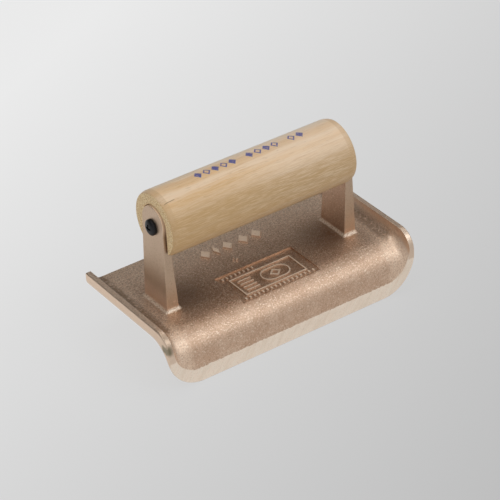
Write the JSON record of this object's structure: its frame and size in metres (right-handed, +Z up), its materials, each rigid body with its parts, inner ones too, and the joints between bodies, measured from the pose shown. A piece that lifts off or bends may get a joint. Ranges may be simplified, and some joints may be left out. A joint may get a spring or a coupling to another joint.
{
  "type": "concrete edger",
  "caption": "Hand concrete edger: bronze plate with a bent-down lip and upturned ends, and a round wood handle held between two cast posts by a screw at each end.",
  "frame": {"origin": "on the flat working face under the plate, midway between its ends and straight below the handle axis", "axes": "+X along the handle, +Z up out of the plate towards the handle, -Y towards the bent-down lip"},
  "size_m": [0.1524, 0.0762, 0.0903],
  "materials": {
    "bronze": "as-cast bronze, ground and polished on its edges and working face",
    "handle_wood": "clear sealed hardwood with bare end grain",
    "black_screw": "black oxide"
  },
  "bodies": {
    "root": {"edger_casting": "bronze", "wood_handle": "handle_wood", "handle_screw_left": "black_screw", "handle_screw_right": "black_screw"}
  },
  "joints": []
}
